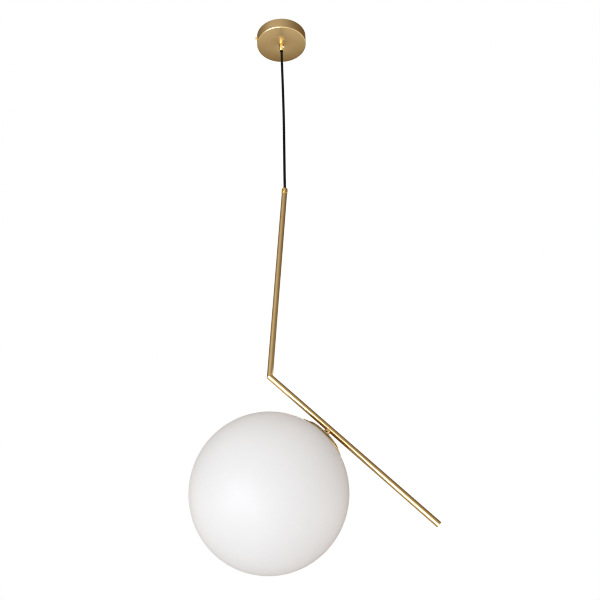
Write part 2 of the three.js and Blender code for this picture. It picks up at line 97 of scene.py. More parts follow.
# ------------------------------------------------------------------ mesh helpers (all in millimetres, in the row frame)
def frame_on(origin, axis, side=None):
    """4x4 whose local -Z runs along axis from origin; local X is as near as it can be to side."""
    z = -axis.normalized()
    s = side if side is not None else Vector((0, 1, 0))
    x = (s - z * s.dot(z)).normalized()
    y = z.cross(x)
    mat = Matrix((x, y, z)).transposed().to_4x4()
    mat.translation = origin
    return mat


FRAME_TOP = Matrix.Identity(4)                      # local z is the row's z
FRAME_STEM = frame_on(S0, U, Vector((1, 0, 0)))     # local -z down the stem
FRAME_ARM = frame_on(E, W, Vector((0, -1, 0)))      # local -z down the arm
FRAME_ROOT = frame_on(F, N, Vector((1, 0, 0)))      # local -z away from the arm, towards the globe
FRAME_NECK = frame_on(HF, N, Vector((1, 0, 0)))     # the same, from the holder's datum


def lift(name, bm, mat=None, body=None, replaces=(), sharp=35, weld=1e-4):
    """bmesh in mm -> object in metres, smooth shaded with sharp edges by angle, riding on a body."""
    if mat is not None:
        bm.transform(mat)
    bmesh.ops.remove_doubles(bm, verts=bm.verts, dist=weld)
    bmesh.ops.recalc_face_normals(bm, faces=bm.faces)
    bm.transform(Matrix.Scale(MM, 4))
    me = bpy.data.meshes.new(name)
    bm.to_mesh(me)
    bm.free()
    me.shade_smooth()
    me.set_sharp_from_angle(angle=rad(sharp))
    o = bpy.data.objects.new(name, me)
    bpy.context.scene.collection.objects.link(o)
    if body:
        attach(o, body)
    if replaces:
        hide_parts(*([replaces] if isinstance(replaces, str) else replaces))
    return o


def lathe(bm, profile, seg, a0=0.0, a1=2 * math.pi, bump=None):
    """Revolves [(r, z), ...] about local Z. Points with r 0 close on the axis. A profile that doesn't touch the axis is closed on itself."""
    full = abs(a1 - a0 - 2 * math.pi) < 1e-6
    n = seg if full else seg + 1
    rows = []
    for r, z in profile:
        if r <= 1e-6:
            rows.append([bm.verts.new((0, 0, z))])
            continue
        row = []
        for i in range(n):
            t = a0 + (a1 - a0) * i / seg
            rr = r + (bump(r, z, t) if bump else 0)
            row.append(bm.verts.new((rr * math.cos(t), rr * math.sin(t), z)))
        rows.append(row)
    on_axis = profile[0][0] <= 1e-6 and profile[-1][0] <= 1e-6
    pairs = list(zip(rows, rows[1:])) + ([] if on_axis else [(rows[-1], rows[0])])
    for a, b in pairs:
        for i in range(seg):
            j = (i + 1) % n
            if len(a) == 1 and len(b) == 1:
                continue
            if len(a) == 1:
                bm.faces.new((a[0], b[i], b[j]))
            elif len(b) == 1:
                bm.faces.new((a[i], a[j], b[0]))
            else:
                bm.faces.new((a[i], a[j], b[j], b[i]))
    return bm


def rounded(points, radius, steps=4):
    """Rounds the corners of a closed (r, z) profile. Items are (r, z) or (r, z, own radius)."""
    out = []
    n = len(points)
    for i in range(n):
        p = points[i]
        r = p[2] if len(p) > 2 else radius
        c = Vector(p[:2])
        a, b = Vector(points[i - 1][:2]), Vector(points[(i + 1) % n][:2])
        da, db = (a - c), (b - c)
        if r <= 0 or da.length < 1e-6 or db.length < 1e-6:
            out.append(tuple(c))
            continue
        ang = da.angle(db)
        if ang > rad(172):
            out.append(tuple(c))
            continue
        d = min(r / math.tan(ang / 2), da.length * 0.45, db.length * 0.45)
        p0, p1 = c + da.normalized() * d, c + db.normalized() * d
        for k in range(steps + 1):
            t = k / steps
            out.append(tuple((1 - t) ** 2 * p0 + 2 * t * (1 - t) * c + t * t * p1))
    return out


def down(points):
    return [(p[0], -p[1], *p[2:]) for p in points]


def sphere_arc(rho, r0, r1, k):
    out = []
    for i in range(k + 1):
        r = r0 + (r1 - r0) * i / k
        out.append((r, 166.0 - math.sqrt(rho * rho - r * r)))
    return out


def sweep(bm, points, radius, sides=24, side=Vector((0, 1, 0)), caps=True, taper=None):
    """Round bar along points (no twisting), radius in mm."""
    rings = []
    for i, p in enumerate(points):
        a, b = points[max(i - 1, 0)], points[min(i + 1, len(points) - 1)]
        t = (b - a).normalized()
        e1 = (side - t * side.dot(t)).normalized()
        e2 = t.cross(e1)
        r = radius * (taper(i) if taper else 1)
        rings.append([bm.verts.new(p + e1 * r * math.cos(2 * math.pi * k / sides) + e2 * r * math.sin(2 * math.pi * k / sides)) for k in range(sides)])
    for a, b in zip(rings, rings[1:]):
        for k in range(sides):
            bm.faces.new((a[k], a[(k + 1) % sides], b[(k + 1) % sides], b[k]))
    if caps:
        bm.faces.new(rings[0][::-1])
        bm.faces.new(rings[-1])
    return rings


def subtract(obj, cutters):
    """Exact boolean difference, applied; the cutters are removed. Objects in metres."""
    for c in cutters:
        mod = obj.modifiers.new("cut", "BOOLEAN")
        mod.operation = "DIFFERENCE"
        mod.solver = "EXACT"
        mod.object = c
    bpy.context.view_layer.update()
    dg = bpy.context.evaluated_depsgraph_get()
    me = bpy.data.meshes.new_from_object(obj.evaluated_get(dg))
    obj.modifiers.clear()
    old = obj.data
    obj.data = me
    bpy.data.meshes.remove(old)
    for c in cutters:
        d = c.data
        bpy.data.objects.remove(c)
        bpy.data.meshes.remove(d)
    obj.data.shade_smooth()
    obj.data.set_sharp_from_angle(angle=rad(35))
    return obj


def cutter(a, b, r, sides=48):
    bm = bmesh.new()
    sweep(bm, [a, b], r, sides, side=Vector((0, 1, 0)) if abs((b - a).normalized().y) < 0.9 else Vector((1, 0, 0)))
    bmesh.ops.recalc_face_normals(bm, faces=bm.faces)
    bm.transform(Matrix.Scale(MM, 4))
    me = bpy.data.meshes.new("cutter")
    bm.to_mesh(me)
    bm.free()
    o = bpy.data.objects.new("cutter", me)
    bpy.context.scene.collection.objects.link(o)
    return o


# ------------------------------------------------------------------ materials
class Graph:
    def __init__(self, name):
        self.m = bpy.data.materials.new(name)
        self.m.use_nodes = True
        self.nt = self.m.node_tree
        self.nt.nodes.clear()
        self.out = self.n("ShaderNodeOutputMaterial")
        self.p = self.n("ShaderNodeBsdfPrincipled")
        self.link(self.p.outputs[0], self.out.inputs[0])

    def n(self, kind, **sets):
        node = self.nt.nodes.new(kind)
        for k, v in sets.items():
            setattr(node, k, v)
        return node

    def link(self, a, b):
        self.nt.links.new(a, b)

    def coords(self, scale=(1, 1, 1), axis_frame=None):
        """Object coordinates in millimetres, turned so that Z runs along the piece's axis."""
        tc = self.n("ShaderNodeTexCoord")
        mp = self.n("ShaderNodeMapping")
        mp.vector_type = "POINT"
        self.link(tc.outputs["Object"], mp.inputs["Vector"])
        if axis_frame is not None:
            inv = axis_frame.inverted()
            q = inv.to_quaternion().to_euler()
            mp.inputs["Rotation"].default_value = q
            mp.inputs["Scale"].default_value = (1000, 1000, 1000)
            t = inv.translation
            mp.inputs["Location"].default_value = t
        else:
            mp.inputs["Scale"].default_value = (1000, 1000, 1000)
        sc = self.n("ShaderNodeVectorMath", operation="MULTIPLY")
        self.link(mp.outputs[0], sc.inputs[0])
        sc.inputs[1].default_value = scale
        return sc.outputs[0]

    def noise(self, vec, scale=1.0, detail=4.0, rough=0.55, distortion=0.0):
        t = self.n("ShaderNodeTexNoise")
        t.noise_dimensions = "3D"
        self.link(vec, t.inputs["Vector"])
        t.inputs["Scale"].default_value = scale
        t.inputs["Detail"].default_value = detail
        t.inputs["Roughness"].default_value = rough
        t.inputs["Distortion"].default_value = distortion
        return t.outputs["Fac"]

    def ramp(self, fac, stops):
        r = self.n("ShaderNodeValToRGB")
        el = r.color_ramp.elements
        while len(el) > 1:
            el.remove(el[-1])
        el[0].position, el[0].color = stops[0][0], (*stops[0][1], 1)
        for pos, col in stops[1:]:
            e = el.new(pos)
            e.color = (*col, 1)
        self.link(fac, r.inputs[0])
        return r.outputs[0]

    def span(self, fac, lo, hi, f0=0.0, f1=1.0):
        r = self.n("ShaderNodeMapRange")
        self.link(fac, r.inputs["Value"])
        r.inputs["From Min"].default_value, r.inputs["From Max"].default_value = f0, f1
        r.inputs["To Min"].default_value, r.inputs["To Max"].default_value = lo, hi
        return r.outputs[0]

    def math(self, op, a, b):
        r = self.n("ShaderNodeMath", operation=op)
        for i, v in enumerate((a, b)):
            if isinstance(v, (int, float)):
                r.inputs[i].default_value = v
            else:
                self.link(v, r.inputs[i])
        return r.outputs[0]

    def bump(self, height, strength, distance=0.0001, normal=None):
        b = self.n("ShaderNodeBump")
        b.inputs["Strength"].default_value = strength
        b.inputs["Distance"].default_value = distance
        self.link(height, b.inputs["Height"])
        if normal is not None:
            self.link(normal, b.inputs["Normal"])
        return b.outputs[0]

    def set(self, **kw):
        for k, v in kw.items():
            self.p.inputs[k.replace("_", " ")].default_value = v


def brass(name, colour, rough, fr, style, grain=0.12, tint=0.04, aniso=0.0, edge=(0.72, 0.58, 0.38)):
    """Brass, with no lacquer coat layer. style: 'turned' has circular grain about the local axis, 'drawn' has grain
    along it.
    """
    g = Graph(name)
    c = g.coords(axis_frame=fr)
    if style == "turned":
        sep = g.n("ShaderNodeSeparateXYZ")
        g.link(c, sep.inputs[0])
        rr = g.math("SQRT", g.math("ADD", g.math("MULTIPLY", sep.outputs[0], sep.outputs[0]), g.math("MULTIPLY", sep.outputs[1], sep.outputs[1])), 0)
        ang = g.math("ARCTAN2", sep.outputs[1], sep.outputs[0])
        cmb = g.n("ShaderNodeCombineXYZ")
        g.link(g.math("MULTIPLY", rr, 5.5), cmb.inputs[0])
        g.link(g.math("MULTIPLY", ang, 0.9), cmb.inputs[1])
        g.link(g.math("MULTIPLY", sep.outputs[2], 5.5), cmb.inputs[2])
        vec = cmb.outputs[0]
    else:
        v = g.n("ShaderNodeVectorMath", operation="MULTIPLY")
        g.link(c, v.inputs[0])
        v.inputs[1].default_value = (5.0, 5.0, 0.05)
        vec = v.outputs[0]
    fine = g.noise(vec, 1.0, 3, 0.6)
    broad = g.noise(c, 0.03, 3, 0.5)
    pits = g.noise(c, 1.6, 2, 0.5)
    base = Vector(colour)
    dark, light = base * (1 - tint), base * (1 + tint)
    light.z *= 1.05
    col = g.ramp(g.math("ADD", g.math("MULTIPLY", fine, 0.35), g.math("MULTIPLY", broad, 0.65)), [(0.32, dark), (0.5, base), (0.68, light)])
    g.link(col, g.p.inputs["Base Color"])
    rg = g.math("ADD", g.span(fine, rough - 0.035, rough + 0.035, 0.3, 0.7), g.span(broad, -0.015, 0.015, 0.3, 0.7))
    g.link(rg, g.p.inputs["Roughness"])
    b1 = g.bump(fine, grain, 0.00004)
    b2 = g.bump(pits, grain * 0.5, 0.00005, b1)
    g.link(b2, g.p.inputs["Normal"])
    g.set(Metallic=1.0)
    g.p.inputs["Specular Tint"].default_value = (*edge, 1)
    if aniso:
        g.p.inputs["Anisotropic"].default_value = aniso
    return g.m


def metal(name, colour, rough, fr=None, grain=0.1, stretch=(3, 3, 3)):
    g = Graph(name)
    c = g.coords(axis_frame=fr)
    v = g.n("ShaderNodeVectorMath", operation="MULTIPLY")
    g.link(c, v.inputs[0])
    v.inputs[1].default_value = stretch
    fine = g.noise(v.outputs[0], 1.0, 3, 0.6)
    broad = g.noise(c, 0.12, 3, 0.5)
    base = Vector(colour)
    g.link(g.ramp(broad, [(0.3, base * 0.88), (0.55, base), (0.75, base * 1.08)]), g.p.inputs["Base Color"])
    g.link(g.math("ADD", g.span(fine, rough - 0.05, rough + 0.05, 0.3, 0.7), g.span(broad, -0.04, 0.05, 0.3, 0.7)), g.p.inputs["Roughness"])
    g.link(g.bump(fine, grain, 0.00005), g.p.inputs["Normal"])
    g.set(Metallic=1.0)
    return g.m


def polymer(name, colour, rough, fr=None, grain=0.15, scale=2.5, sheen=0.0, coat=0.0, spec=0.5, subsurface=0.0):
    g = Graph(name)
    c = g.coords(axis_frame=fr)
    fine = g.noise(c, scale, 4, 0.6)
    broad = g.noise(c, 0.08, 3, 0.5)
    base = Vector(colour)
    g.link(g.ramp(broad, [(0.3, base * 0.85), (0.5, base), (0.7, base * 1.12)]), g.p.inputs["Base Color"])
    g.link(g.math("ADD", g.span(fine, rough - 0.05, rough + 0.05, 0.3, 0.7), g.span(broad, -0.03, 0.03, 0.3, 0.7)), g.p.inputs["Roughness"])
    g.link(g.bump(fine, grain, 0.0001), g.p.inputs["Normal"])
    g.p.inputs["Specular IOR Level"].default_value = spec
    g.p.inputs["Sheen Weight"].default_value = sheen
    g.p.inputs["Coat Weight"].default_value = coat
    g.p.inputs["Subsurface Weight"].default_value = subsurface
    if subsurface:
        g.p.inputs["Subsurface Radius"].default_value = (1.0, 0.9, 0.8)
        g.p.inputs["Subsurface Scale"].default_value = 0.004
    return g.m


BRASS = (0.665, 0.510, 0.262)
BRASS_GOLD = (0.86, 0.655, 0.27)
BRASS_DEEP = (0.80, 0.545, 0.14)
TUBE_EDGE = (0.45, 0.27, 0.05)
M_CANOPY = brass("brass_canopy", BRASS, 0.32, FRAME_TOP, "turned", grain=0.05, edge=(0.95, 0.86, 0.70))
M_STEM = brass("brass_stem", (0.665, 0.503, 0.250), 0.21, FRAME_STEM, "drawn", grain=0.04, edge=TUBE_EDGE)
M_ARM = brass("brass_arm", (0.655, 0.475, 0.205), 0.16, FRAME_ARM, "drawn", grain=0.04, edge=TUBE_EDGE)
M_NECK = brass("brass_neck", (0.66, 0.485, 0.215), 0.17, FRAME_NECK, "turned", grain=0.04, edge=TUBE_EDGE)
M_GRIP = brass("brass_grip", (0.74, 0.575, 0.29), 0.13, FRAME_TOP, "turned", grain=0.02, edge=(0.16, 0.085, 0.02))
M_FERRULE = brass("brass_ferrule", BRASS_DEEP, 0.15, FRAME_STEM, "turned", grain=0.03, edge=(0.45, 0.25, 0.03))
M_SHELL = brass("brass_shell", BRASS_GOLD, 0.25, FRAME_NECK, "turned", grain=0.08)
M_SCREW = brass("brass_screw", (0.70, 0.52, 0.23), 0.24, FRAME_TOP, "turned", grain=0.06)
M_CHROME = metal("chrome", (0.86, 0.86, 0.87), 0.12, FRAME_TOP, 0.04)
M_STEEL = metal("steel", (0.62, 0.63, 0.65), 0.28, FRAME_TOP, 0.12, (4, 4, 0.6))
M_STEEL_N = metal("steel_neck", (0.60, 0.61, 0.63), 0.3, FRAME_NECK, 0.12, (4, 4, 0.6))
M_DARK = metal("steel_dark", (0.055, 0.065, 0.085), 0.36, FRAME_NECK, 0.1)
M_ZINC = metal("zinc", (0.60, 0.62, 0.64), 0.36, FRAME_TOP, 0.2, (0.8, 0.8, 0.8))
M_NICKEL = metal("nickel", (0.70, 0.69, 0.66), 0.22, FRAME_NECK, 0.06)
M_CORD = polymer("cord_jacket", (0.003, 0.003, 0.0032), 0.36, FRAME_TOP, 0.12, 3.0, spec=0.08)
M_BUSH = polymer("bush_rubber", (0.005, 0.005, 0.005), 0.55, FRAME_TOP, 0.3, 4.0, spec=0.25)
M_BLACKP = polymer("holder_plastic", (0.022, 0.022, 0.024), 0.42, FRAME_NECK, 0.2, 3.0)
M_WHITEP = polymer("terminal_plastic", (0.78, 0.77, 0.73), 0.4, FRAME_TOP, 0.15, 2.0, subsurface=0.1)
M_BROWN = polymer("lead_brown", (0.20, 0.085, 0.04), 0.42, FRAME_TOP, 0.15, 3.0)
M_BLUE = polymer("lead_blue", (0.04, 0.13, 0.42), 0.42, FRAME_TOP, 0.15, 3.0)
M_GREEN = polymer("lead_green", (0.14, 0.38, 0.06), 0.42, FRAME_TOP, 0.15, 3.0)
M_LEADW = polymer("lead_white", (0.74, 0.72, 0.66), 0.45, FRAME_STEM, 0.15, 3.0)
M_SILI = polymer("silicone", (0.70, 0.68, 0.64), 0.55, FRAME_NECK, 0.15, 2.0, subsurface=0.3)


def opal(name, tint, rough, wash):
    """Opal glass, matt blown: white all through, a soft satin surface, faint unevenness of the blowing."""
    g = Graph(name)
    c = g.coords(axis_frame=FRAME_NECK)
    broad = g.noise(c, 0.012, 2, 0.5)
    fine = g.noise(c, 1.2, 3, 0.6)
    base = Vector(tint)
    g.link(g.ramp(broad, [(0.35, base * 0.985), (0.65, base)]), g.p.inputs["Base Color"])
    g.link(g.span(fine, rough - 0.03, rough + 0.03, 0.3, 0.7), g.p.inputs["Roughness"])
    g.link(g.bump(fine, 0.03, 0.00005), g.p.inputs["Normal"])
    g.p.inputs["Specular IOR Level"].default_value = 0.28
    g.p.inputs["IOR"].default_value = 1.5
    g.p.inputs["Subsurface Weight"].default_value = wash
    g.p.inputs["Subsurface Radius"].default_value = (1.0, 0.96, 0.92)
    g.p.inputs["Subsurface Scale"].default_value = 0.01
    return g.m


M_OPAL = opal("opal_glass", (0.905, 0.902, 0.895), 0.42, 0.12)
M_BULB = opal("bulb_glass", (0.92, 0.915, 0.89), 0.4, 0.3)


def dress(obj, mat):
    obj.data.materials.clear()
    obj.data.materials.append(mat)
    return obj


# ------------------------------------------------------------------ cord: made first
def bow(z):
    """The cord's slight bow to +X between the grip and the ferrule, mm."""
    t = (EXIT_Z - z) / (EXIT_Z - FERRULE_Z)
    t = min(max(t, 0), 1)
    return 1.5 * (16 * t * t * (1 - t) * (1 - t)) * (1.0 - 0.25 * t)


BEND_END = -76.0
bm = bmesh.new()
sweep(bm, [Vector((bow(z), 0, z)) for z in [BEND_END + (FOOT_Z - BEND_END) * i / 90 for i in range(91)]], CORD_R, 32)
cord = lift("cord_main", bm, body="cord_lower", replaces="cord", sharp=60)
dress(cord, M_CORD)
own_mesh(cord)

bm = bmesh.new()
sweep(bm, [Vector((bow(z), 0, z)) for z in [SWING_Y_Z + (BEND_END - SWING_Y_Z) * i / 16 for i in range(17)]], CORD_R, 32)
cord_bend = lift("cord_bend", bm, sharp=60)
dress(cord_bend, M_CORD)
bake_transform(cord_bend)

bm = bmesh.new()
sweep(bm, [Vector((0, 0, z)) for z in [-47.5 + (SWING_Y_Z + 47.5) * i / 16 for i in range(17)]], CORD_R, 32)
cord_neck = lift("cord_neck", bm, replaces="cord_top", sharp=60)
dress(cord_neck, M_CORD)
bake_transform(cord_neck)

bm = bmesh.new()
foot_z = [FOOT_Z - 0.03 + (FERRULE_Z - 0.97 - FOOT_Z) * i / 10 for i in range(11)]
sweep(bm, [Vector((bow(z), 0, z)) for z in foot_z], CORD_R, 32)
cord_foot = lift("cord_low_end", bm, body="cord_bottom", replaces="cord_foot", sharp=60)
dress(cord_foot, M_CORD)

# ------------------------------------------------------------------ canopy
R, H, T = CANOPY_R, CANOPY_H, CANOPY_T
bm = bmesh.new()
prof = rounded([(5.35, -H, 0.25), (R, -H, 3.2), (R, -0.2, 0.25), (R - T, -0.2, 0.25), (R - T, -H + T, 0.5), (5.35, -H + T, 0.2)], 0.3, 6)
lathe(bm, prof, 192)
canopy = lift("canopy_shell", bm, body="canopy", replaces="canopy_cup", sharp=40)
ct, st = math.cos(TURN), math.sin(TURN)


def radial(r, z):
    return Vector((r * ct, r * st, z))


subtract(canopy, [cutter(radial(50, SIDE_Z), radial(70, SIDE_Z), 2.3), cutter(radial(-50, SIDE_Z), radial(-70, SIDE_Z), 2.3)])
dress(canopy, M_CANOPY)

# knurled side screw
fr_side = frame_on(radial(-(R + 0.3), SIDE_Z), radial(-1, 0) - Vector((0, 0, 0)), Vector((0, 0, 1)))
bm = bmesh.new()


def knurl(r, z, t):
    return 0.22 * math.cos(30 * t) if r > 3.2 and 0.35 < -z < 3.05 else 0.0


kp = [(0, 0), (3.05, 0), (3.25, 0.25), (3.4, 0.4), (3.4, 0.9), (3.4, 1.5), (3.4, 2.2), (3.4, 2.9), (3.3, 3.08), (3.0, 3.35), (2.4, 3.4), (1.2, 3.25), (0, 3.2)]
lathe(bm, down(kp), 180, bump=knurl)
sweep(bm, [Vector((0, 0, 0.2)), Vector((0, 0, 7.3))], 2.0, 32)
side_screw = lift("side_thumb_screw", bm, mat=fr_side, body="side_screw", replaces="side_screw", weld=1e-5)
dress(side_screw, M_SCREW)

# flush grub screw, hexagon socket
fr_grub = frame_on(radial(R - 0.3, SIDE_Z), radial(1, 0), Vector((0, 0, 1)))


def socket_screw(name, fr, r, length, key, depth, body, node, mat):
    """Plain shank with a chamfered outer end and a hexagon socket in it; local z 0 is the outer face, shank to +z."""
    bm = bmesh.new()
    seg = 48
    hexa = []
    for i in range(seg):
        t = 2 * math.pi * i / seg
        k = t % (math.pi / 3) - math.pi / 6
        hexa.append(key / 2 / math.cos(k))
    outer = [bm.verts.new((r * 0.86 * math.cos(2 * math.pi * i / seg), r * 0.86 * math.sin(2 * math.pi * i / seg), 0)) for i in range(seg)]
    h0 = [bm.verts.new((hexa[i] * math.cos(2 * math.pi * i / seg), hexa[i] * math.sin(2 * math.pi * i / seg), 0)) for i in range(seg)]
    h1 = [bm.verts.new((hexa[i] * math.cos(2 * math.pi * i / seg), hexa[i] * math.sin(2 * math.pi * i / seg), depth)) for i in range(seg)]
    w1 = [bm.verts.new((r * math.cos(2 * math.pi * i / seg), r * math.sin(2 * math.pi * i / seg), r * 0.14)) for i in range(seg)]
    w2 = [bm.verts.new((r * math.cos(2 * math.pi * i / seg), r * math.sin(2 * math.pi * i / seg), length)) for i in range(seg)]
    for a, b in ((h1, h0), (h0, outer), (outer, w1), (w1, w2)):
        for i in range(seg):
            bm.faces.new((a[i], a[(i + 1) % seg], b[(i + 1) % seg], b[i]))
    bm.faces.new(h1[::-1])
    bm.faces.new(w2)
    return dress(lift(name, bm, mat=fr, body=body, replaces=node), mat)


socket_screw("side_grub", fr_grub, 2.0, 6.7, 2.0, 1.9, "canopy", "side_grub_screw", M_SCREW)

# ------------------------------------------------------------------ cord grip, its screw and bush
bm = bmesh.new()
gb, gz = GRIP_BOTTOM, GRIP_TOP
gp = rounded([
    (3.1, gb + 3.4, 0.05), (4.35, gb + 3.4, 0.05), (4.35, gb, 0.15), (GRIP_R, gb, 0.7),
    (GRIP_R, gb + 3.2, 0.12), (GRIP_R - 0.35, gb + 3.5, 0.1), (GRIP_R - 0.35, gb + 3.9, 0.1), (GRIP_R, gb + 4.2, 0.12),
    (GRIP_R, gz, 0.4), (5.0, gz, 0.05), (5.0, -18.2, 0.3), (3.1, -18.2, 0.2)], 0.1, 4)
lathe(bm, gp, 128)
grip = lift("cord_grip_body", bm, body="canopy", replaces="cord_grip")
az = rad(-45)
gdir = Vector((math.cos(az), math.sin(az), 0))
GSZ = gz - 10.2
subtract(grip, [cutter(Vector((0, 0, GSZ)), gdir * 9 + Vector((0, 0, GSZ)), 1.85)])
dress(grip, M_GRIP)

# pan head screw with a cross-slot, radially through the grip
bm = bmesh.new()
hp = [(0, 0), (1.5, 0), (1.5, 3.0), (2.35, 3.0), (2.6, 3.15), (2.6, 3.6), (2.5, 4.1), (2.2, 4.6), (1.6, 4.9), (0.8, 5.0), (0, 5.02)]
lathe(bm, hp, 64)
fr_g = frame_on(gdir * 3.0 + Vector((0, 0, GSZ)), -gdir, Vector((0, 0, 1)))
grip_screw = lift("grip_screw_body", bm, mat=fr_g, body="grip_screw", replaces="grip_screw", sharp=30)


def slot_cutter(origin, axis, side, width, length, depth):
    """Box whose outer end is at origin, sunk depth against axis."""
    s = (side - axis * side.dot(axis)).normalized()
    t = axis.cross(s)
    bm = bmesh.new()
    bmesh.ops.create_cube(bm, size=1.0)
    mat = Matrix((s * length, t * width, axis * depth)).transposed().to_4x4()
    mat.translation = origin - axis * (depth / 2 - 0.6)
    bm.transform(mat)
    bmesh.ops.recalc_face_normals(bm, faces=bm.faces)
    bm.transform(Matrix.Scale(MM, 4))
    me = bpy.data.meshes.new("slot")
    bm.to_mesh(me)
    bm.free()
    o = bpy.data.objects.new("slot", me)
    bpy.context.scene.collection.objects.link(o)
    return o


head_end = gdir * 8.0 + Vector((0, 0, GSZ))
subtract(grip_screw, [slot_cutter(head_end, gdir, Vector((0, 0, 1)), 0.7, 3.4, 1.6), slot_cutter(head_end, gdir, gdir.cross(Vector((0, 0, 1))), 0.7, 3.4, 1.6)])
dress(grip_screw, M_CHROME)

bm = bmesh.new()
lathe(bm, rounded([(3.06, gb - 2.1, 0.2), (3.8, gb - 2.1, 0.35), (4.15, gb - 0.9, 0.2), (4.15, gb + 3.1, 0.3), (3.06, gb + 3.1, 0.2)], 0.2, 5), 64)
dress(lift("grip_bush_ring", bm, body="canopy", replaces="grip_bush", sharp=50), M_BUSH)

# ------------------------------------------------------------------ ferrule
FR = 6.5
bm = bmesh.new()
pts = [(3.1, 0.35), (3.3, 0.0)]
for i in range(13):
    t = rad(i * 7.5)
    pts.append((3.7 + (FR - 3.7) * math.sin(t), 4.6 * (1 - math.cos(t))))
pts += [(FR, 13.1), (FR - 0.12, 13.7), (FR - 0.4, 14.0), (4.7, 14.0), (4.7, 25.6), (4.3, 26.0), (3.2, 26.0), (3.1, 25.7)]
lathe(bm, down(pts), 128)
ferrule = lift("ferrule_body", bm, mat=FRAME_STEM, body="lamp", replaces="stem_ferrule", sharp=35)
# the record's ferrule screw sits 8.2 mm down, almost straight to the front
q_stem = Vector((0, 0, -1)).rotation_difference(U)


def on_stem(v):
    return q_stem @ v + S0


faz = rad(-84)


def fpt(r, a):
    return on_stem(Vector((r * math.cos(faz), r * math.sin(faz), -a)))


subtract(ferrule, [cutter(fpt(0, 8.2), fpt(9, 8.2), 1.8)])
dress(ferrule, M_FERRULE)
fdir = (fpt(9, 8.2) - fpt(0, 8.2)).normalized()
socket_screw("ferrule_grub", frame_on(fpt(6.25, 8.2), fdir, Vector((0, 0, 1))), 1.5, 3.1, 1.5, 1.1, "lamp", "ferrule_screw", M_STEEL)

# ------------------------------------------------------------------ tubes
def mitred_tube(p0, p1, n0, n1, ro, ri, seg, rows, soften=0.0):
    """Tube with its ends on two planes; extra rings near the ends keep the edge highlights tight."""
    bm = bmesh.new()
    d = (p1 - p0).normalized()
    e1 = Vector((0, 1, 0))
    e2 = d.cross(e1).normalized()

    def ring(p, n, r):
        out = []
        for i in range(seg):
            t = 2 * math.pi * i / seg
            off = e1 * (r * math.cos(t)) + e2 * (r * math.sin(t))
            out.append(bm.verts.new(p + off + d * (-off.dot(n) / d.dot(n))))
        return out

    L = (p1 - p0).length
    outer = [ring(p0, n0, ro - 0.18), ring(p0 + d * 0.18, n0, ro)]
    for k in range(1, rows):
        outer.append(ring(p0 + d * (L * k / rows), (n0 * (1 - k / rows) + n1 * (k / rows)).normalized(), ro))
    outer += [ring(p1 - d * 0.18, n1, ro), ring(p1, n1, ro - 0.18)]
    inner = [ring(p1, n1, ri + 0.12), ring(p1 - d * 0.12, n1, ri), ring(p0 + d * 0.12, n0, ri), ring(p0, n0, ri + 0.12)]
    rings = outer + inner
    for a, b in zip(rings, rings[1:] + rings[:1]):
        for i in range(seg):
            bm.faces.new((a[i], a[(i + 1) % seg], b[(i + 1) % seg], b[i]))
    return bm


bm = mitred_tube(S0 + U * 14.15, E, U, MITRE, TUBE_R, TUBE_R - 1, 96, 24)
stem = lift("stem_tube", bm, body="lamp", replaces="upper_tube", sharp=40)
dress(stem, M_STEM)
bm = mitred_tube(E, P, MITRE, W, TUBE_R, TUBE_R - 1, 96, 24)
arm = lift("arm_tube", bm, body="lamp", replaces="lower_tube", sharp=40)
subtract(arm, [cutter(F + N * 1.5, F + N * 8, 4.35)])
dress(arm, M_ARM)

# plug in the arm's cut end, with a shallow chamfer and a small turned dimple
bm = bmesh.new()
a1 = ARM_L - 0.35
lathe(bm, down([(0, a1 - 75), (4.3, a1 - 75), (4.7, a1 - 74.6), (4.7, a1 - 0.5), (4.45, a1 - 0.12), (4.2, a1), (0.9, a1), (0.5, a1 - 0.35), (0, a1 - 0.5)]), 96)
plug = lift("arm_plug", bm, mat=FRAME_ARM, body="lamp", replaces="arm_end_plug", sharp=35)
dress(plug, M_ARM)

# ------------------------------------------------------------------ neck
NECK_AXIS = N
q_neck = Vector((0, 0, -1)).rotation_difference(N)


def on_neck(v):
    return q_neck @ v + F


bm = bmesh.new()
lathe(bm, down(rounded([(4.35, 1.0, 0.05), (6.0, 1.0, 0.05), (6.0, NECK_L, 0.35), (4.35, NECK_L, 0.15)], 0.1, 4)), 96)
spacer = lift("neck_collar", bm, mat=FRAME_ROOT, body="lamp", replaces="neck_spacer")
g0, g1 = on_neck(Vector((0, 0, -GRUB_B))), on_neck(Vector((0, -9, -GRUB_B)))
subtract(spacer, [cutter(F - W * 30, F + W * 30, 6.18, 96), cutter(g0, g1, 1.75)])
dress(spacer, M_NECK)
gd = (g1 - g0).normalized()
socket_screw("neck_grub", frame_on(g0 + gd * 6.15, gd, Vector((0, 0, 1))), 1.45, 1.7, 1.5, 1.2, "lamp", "neck_grub_screw", M_DARK)

# ------------------------------------------------------------------ holder cap, gallery, globe collar
bm = bmesh.new()
cap_pts = [(r, b) for r, b in sphere_arc(154.7, 4.35, 39.6, 16)]
cap_pts += [(40.0, 166 - math.sqrt(154.55 ** 2 - 40 ** 2) + 0.05), (40.1, 166 - math.sqrt(154.1 ** 2 - 40 ** 2)), (39.95, 166 - math.sqrt(153.6 ** 2 - 39.9 ** 2))]
cap_pts += [(r, b) for r, b in sphere_arc(153.5, 39.5, 4.35, 16)]
lathe(bm, down(cap_pts), 160)
cap = lift("holder_dome", bm, mat=FRAME_NECK, body="lamp", replaces="holder_cap", sharp=35)
dress(cap, M_NECK)

